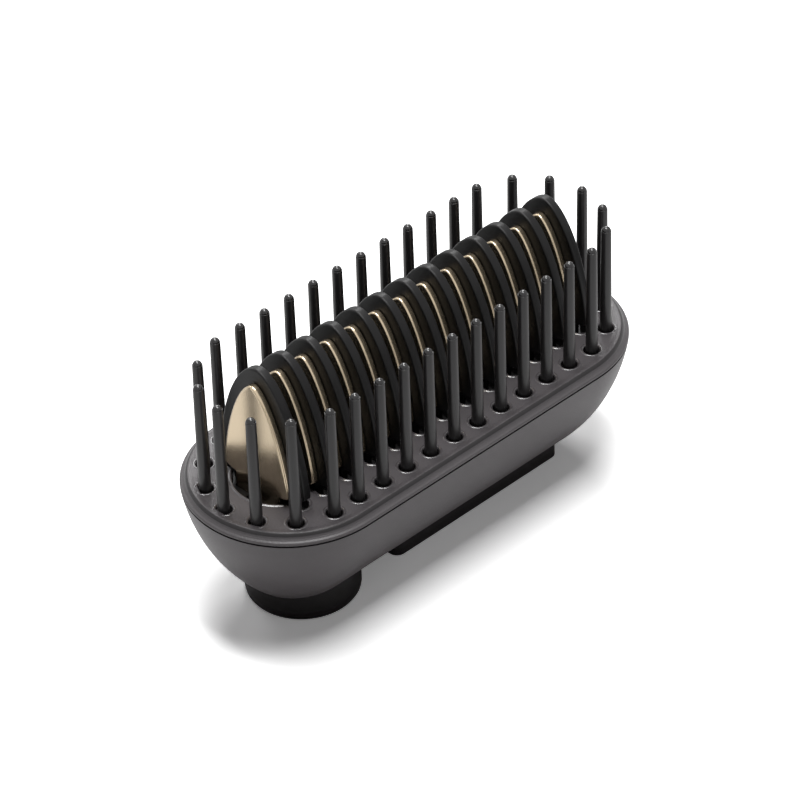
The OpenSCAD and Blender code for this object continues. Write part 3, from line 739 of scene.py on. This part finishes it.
class MakePins(bpy.types.Operator):
    """Builds the two straight rows and the two arcs of pins with domed tips"""

    bl_idname = "brush_head.make_pins"
    bl_label = "Pins"
    # Half widths of the straight and the curved bars that join the pins, the angle that a
    # curved bar goes past its last pin, and the height of their tops
    row_bar_half = 1.7 * MM
    arc_bar_half = 1.6 * MM
    bar_past = math.radians(7)
    bar_top = BED_UNDER - 0.3 * MM

    def execute(self, context):
        for side, word in ((1, "left"), (-1, "right")):
            y = side * PIN_ROW_Y
            name = f"pin_row_{word}"
            b0, b1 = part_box(name)
            section = cut_section(y - self.row_bar_half, y + self.row_bar_half, b0.z, self.bar_top)
            self.strip(f"pins_{word}", row_places(side), straight_bar(b0.x, b1.x, section), name)
        for sign, facing, word in ((-1, math.pi, "near"), (1, 0.0, "far")):
            name = f"pin_arc_{word}"
            b0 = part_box(name)[0]
            half, spread = self.arc_bar_half, 2 * ARC_STEP + self.bar_past
            section = cut_section(PIN_ROW_Y - half, PIN_ROW_Y + half, b0.z, self.bar_top)
            bar = curved_bar(sign * ARC_X, facing - spread, facing + spread, section)
            self.strip(f"pins_{word}", arc_places(sign), bar, name)
        return {"FINISHED"}

    def strip(self, name, places, bar, replaced):
        """Pins at their places, joined by a bar under the bed."""
        parts = [part for centre in places for part in self.pin(centre)] + [bar]
        piece(name, parts, [pin_finish(), tip_finish()], "head", [replaced])

    def pin(self, centre):
        """One pin in two parts: a slightly tapered shank that ends in a narrow ledge, and on it a
        polished dome, r = radius cos q and z = height sin q."""
        s = sizes()
        top = BED_Z + s.pin_height - s.pin_dome
        root, ledge = BED_UNDER - 0.4 * MM, 0.05 * MM
        shank = [
            (s.pin_foot, root), (s.pin_foot, BED_Z), (s.pin_neck, top - ledge),
            (s.pin_neck - 0.3 * ledge, top - 0.3 * ledge), (s.pin_neck - ledge, top),
        ]
        q = np.linspace(0, np.pi / 2, 10)[:-1]
        radius = s.pin_neck - 2.2 * ledge
        dome = [(radius, top - ledge)]
        dome += list(zip(radius * np.cos(q), top + s.pin_dome * np.sin(q)))
        return [lathe(shank, centre), (*lathe(dome, centre), 1)]


class DressUnderside(bpy.types.Operator):
    """Gives the collar, the foot, the catch and the inner parts their finishes, and builds the
    catch's spring"""

    bl_idname = "brush_head.dress_underside"
    bl_label = "Collar, foot and inner parts"

    def execute(self, context):
        dress(collar_finish(), "coupling_collar", "inlet_seal")
        dress(foot_finish(), "foot_plate")
        dress(inner_finish(), "air_guide", "catch", "catch_cover")
        dress(steel_finish(), "collar_screws", "cover_screws", "case_screws", "inlet_screen")
        points, faces = self.coil()
        parts = [(points, faces)]
        spring = piece("coil_spring", parts, [steel_finish()], "head", ["catch_spring"])
        length = np.ptp(points[..., 0])
        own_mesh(spring)
        return {"FINISHED"}

    def coil(self):
        """The catch's spring: a round wire along a helix whose axis runs along the head. A point
        lies at (along the axis + wire x sin b, (coil + wire x cos b) x cos a and x sin a)."""
        points = node_points("catch_spring")
        low, high = points.min(0), points.max(0)
        middle = (low + high) / 2
        wire, turns, per_turn, sides = 0.25 * MM, 6, 24, 10
        a = np.linspace(0, turns * 2 * np.pi, turns * per_turn + 1)[:, None]
        b = np.arange(sides) * 2 * np.pi / sides
        along = np.linspace(low[0] + wire, high[0] - wire, len(a))[:, None] + wire * np.sin(b)
        out = (high[2] - low[2]) / 2 - wire + wire * np.cos(b)
        points = np.stack([along, middle[1] + out * np.cos(a), middle[2] + out * np.sin(a)], -1)
        return points, tube_faces(len(a), sides)


class MakeStage(bpy.types.Operator):
    """Sets the camera, the pale floor and the soft studio light"""

    bl_idname = "brush_head.make_stage"
    bl_label = "Stage, light and camera"
    # The floor: its shade, how much more of it the camera sees, so that it is white close to
    # the object too, how far its darkest shadow is lifted, and half its side
    floor_shade = 0.86
    floor_gain = 0.68
    floor_lift = 0.17
    floor_half = 3.0
    # Level of the world as a light, where the camera and a reflection see it white
    ambient = 0.03
    # Height of the point that the lamps face
    aim_z = 30 * MM

    def execute(self, context):
        scene = context.scene
        scene.view_settings.view_transform = "Standard"
        self.camera(scene)
        self.floor(scene)
        self.soft_box(scene, "top_box", (0.04, 0.03, 1.1), (0.32, 0.75), 13.0)
        self.soft_box(scene, "back_box", (0.42, 0.47, 0.56), (0.26, 0.26), 2.2)
        self.soft_box(scene, "rear_box", (0.05, 0.85, 0.60), (0.30, 0.30), 1.0)
        self.world(scene)
        return {"FINISHED"}

    def camera(self, scene):
        """The camera, from its angles in degrees, how many pixels long a pitch shows at the middle
        of the bed, and the share by which that grows for each pitch nearer."""
        azimuth, elevation, roll = (math.radians(x) for x in (-43.3425, 37.7072, -1.7908))
        per_depth, pixels = 0.008092, 32.7091
        image, off_x, off_y = 800, -8.8931, -6.1348
        sensor = 36
        middle = Vector((0, 0, 33.025 * MM))
        level = math.cos(elevation)
        back = Vector((math.sin(azimuth) * level, -math.cos(azimuth) * level, math.sin(elevation)))
        right = Vector((0, 0, 1)).cross(back).normalized()
        up = back.cross(right)
        right, up = (
            right * math.cos(roll) + up * math.sin(roll),
            up * math.cos(roll) - right * math.sin(roll),
        )
        data = bpy.data.cameras.new("camera")
        data.sensor_width = sensor
        data.lens = pixels / per_depth * sensor / image
        data.shift_x, data.shift_y = off_x / image, off_y / image
        data.clip_start, data.clip_end = 0.01, 20
        camera = bpy.data.objects.new("camera", data)
        scene.collection.objects.link(camera)
        place = middle + back * (PITCH / per_depth)
        camera.matrix_world = Matrix.Translation(place) @ Matrix((right, up, back)).transposed().to_4x4()
        scene.camera = camera

    def floor(self, scene):
        """A wide matt floor, white to the camera and in reflections, that keeps the shadow."""
        made = bpy.data.materials.new("floor_pale")
        made.use_nodes = True
        tree = made.node_tree
        tree.nodes.clear()
        link = tree.links.new
        out = node(tree, "ShaderNodeOutputMaterial")
        matt = node(tree, "ShaderNodeBsdfDiffuse")
        glow = node(tree, "ShaderNodeEmission", [("Color", (1, 1, 1, 1))])
        path = node(tree, "ShaderNodeLightPath")
        mirrored = node(tree, "ShaderNodeMath", operation="MAXIMUM")
        shade = node(tree, "ShaderNodeMapRange", [("To Min", self.floor_shade), ("To Max", 1.0)])
        seen = node(tree, "ShaderNodeMath", [(1, self.floor_gain)], operation="MULTIPLY")
        total = node(tree, "ShaderNodeMath", operation="ADD")
        lift = node(tree, "ShaderNodeMath", [(1, self.floor_lift)], operation="MULTIPLY")
        both = node(tree, "ShaderNodeAddShader")
        link(path.outputs["Is Glossy Ray"], mirrored.inputs[0])
        link(path.outputs["Is Transmission Ray"], mirrored.inputs[1])
        link(mirrored.outputs[0], shade.inputs["Value"])
        link(path.outputs["Is Camera Ray"], seen.inputs[0])
        link(shade.outputs["Result"], total.inputs[0])
        link(seen.outputs[0], total.inputs[1])
        link(total.outputs[0], matt.inputs["Color"])
        link(path.outputs["Is Camera Ray"], lift.inputs[0])
        link(lift.outputs[0], glow.inputs["Strength"])
        link(matt.outputs[0], both.inputs[0])
        link(glow.outputs[0], both.inputs[1])
        link(both.outputs[0], out.inputs["Surface"])
        a = self.floor_half
        mesh = bpy.data.meshes.new("floor")
        mesh.from_pydata([(-a, -a, 0), (a, -a, 0), (a, a, 0), (-a, a, 0)], [], [(0, 1, 2, 3)])
        mesh.materials.append(made)
        floor = bpy.data.objects.new("floor", mesh)
        scene.collection.objects.link(floor)

    def soft_box(self, scene, name, place, size, power):
        """A rectangular lamp that faces the object: its first side is square to the world's Y."""
        aim = Vector(place) - Vector((0, 0, self.aim_z))
        across = Vector((0, 1, 0)).cross(aim).normalized()
        data = bpy.data.lights.new(name, "AREA")
        data.shape = "RECTANGLE"
        data.size, data.size_y = size
        data.energy = power
        lamp = bpy.data.objects.new(name, data)
        scene.collection.objects.link(lamp)
        axes = Matrix((across, aim.cross(across).normalized(), aim.normalized())).transposed()
        lamp.matrix_world = Matrix.Translation(place) @ axes.to_4x4()

    def world(self, scene):
        """A world that is white where it is seen directly, and dim as a light."""
        world = bpy.data.worlds.new("studio")
        scene.world = world
        world.use_nodes = True
        tree = world.node_tree
        tree.nodes.clear()
        link = tree.links.new
        out = node(tree, "ShaderNodeOutputWorld")
        pale = node(tree, "ShaderNodeBackground", [("Color", (1, 1, 1, 1))])
        level = node(tree, "ShaderNodeMapRange", [("To Min", self.ambient), ("To Max", 1.0)])
        link(self.seen_directly(tree), level.inputs["Value"])
        link(level.outputs["Result"], pale.inputs["Strength"])
        link(pale.outputs[0], out.inputs["Surface"])

    def seen_directly(self, tree):
        """1 for a ray from the camera, from a glossy reflection or through glass, else 0."""
        path = node(tree, "ShaderNodeLightPath")
        first = node(tree, "ShaderNodeMath", operation="MAXIMUM")
        second = node(tree, "ShaderNodeMath", operation="MAXIMUM")
        tree.links.new(path.outputs["Is Camera Ray"], first.inputs[0])
        tree.links.new(path.outputs["Is Glossy Ray"], first.inputs[1])
        tree.links.new(first.outputs[0], second.inputs[0])
        tree.links.new(path.outputs["Is Transmission Ray"], second.inputs[1])
        return second.outputs[0]


class BrushHeadPanel(bpy.types.Panel):
    """Lists the steps that build the brush head"""

    bl_idname = "VIEW3D_PT_brush_head"
    bl_label = "Brush Head"
    bl_space_type = "VIEW_3D"
    bl_region_type = "UI"
    bl_category = "Brush Head"

    def draw(self, context):
        for step in STEPS:
            self.layout.operator(step.bl_idname)
        for group_name in ("brush_head_sizes", "brush_head_colours"):
            settings = getattr(context.scene, group_name)
            box = self.layout.box()
            for key in settings.bl_rna.properties.keys():
                if key not in ("rna_type", "name"):
                    box.prop(settings, key)


STEPS = (MakeBed, MakeFins, MakePlates, MakePins, DressUnderside, MakeStage)
CLASSES = (BrushHeadSizes, BrushHeadColours, *STEPS, BrushHeadPanel)


def register():
    for cls in CLASSES:
        bpy.utils.register_class(cls)
    bpy.types.Scene.brush_head_sizes = bpy.props.PointerProperty(type=BrushHeadSizes)
    bpy.types.Scene.brush_head_colours = bpy.props.PointerProperty(type=BrushHeadColours)


def unregister():
    del bpy.types.Scene.brush_head_colours
    del bpy.types.Scene.brush_head_sizes
    for cls in reversed(CLASSES):
        bpy.utils.unregister_class(cls)


def main():
    """Registers the add-on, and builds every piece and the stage."""
    register()
    bpy.ops.brush_head.make_bed()
    bpy.ops.brush_head.make_fins()
    bpy.ops.brush_head.make_plates()
    bpy.ops.brush_head.make_pins()
    bpy.ops.brush_head.dress_underside()
    bpy.ops.brush_head.make_stage()
    bpy.context.view_layer.update()


if __name__ == "__main__":
    main()
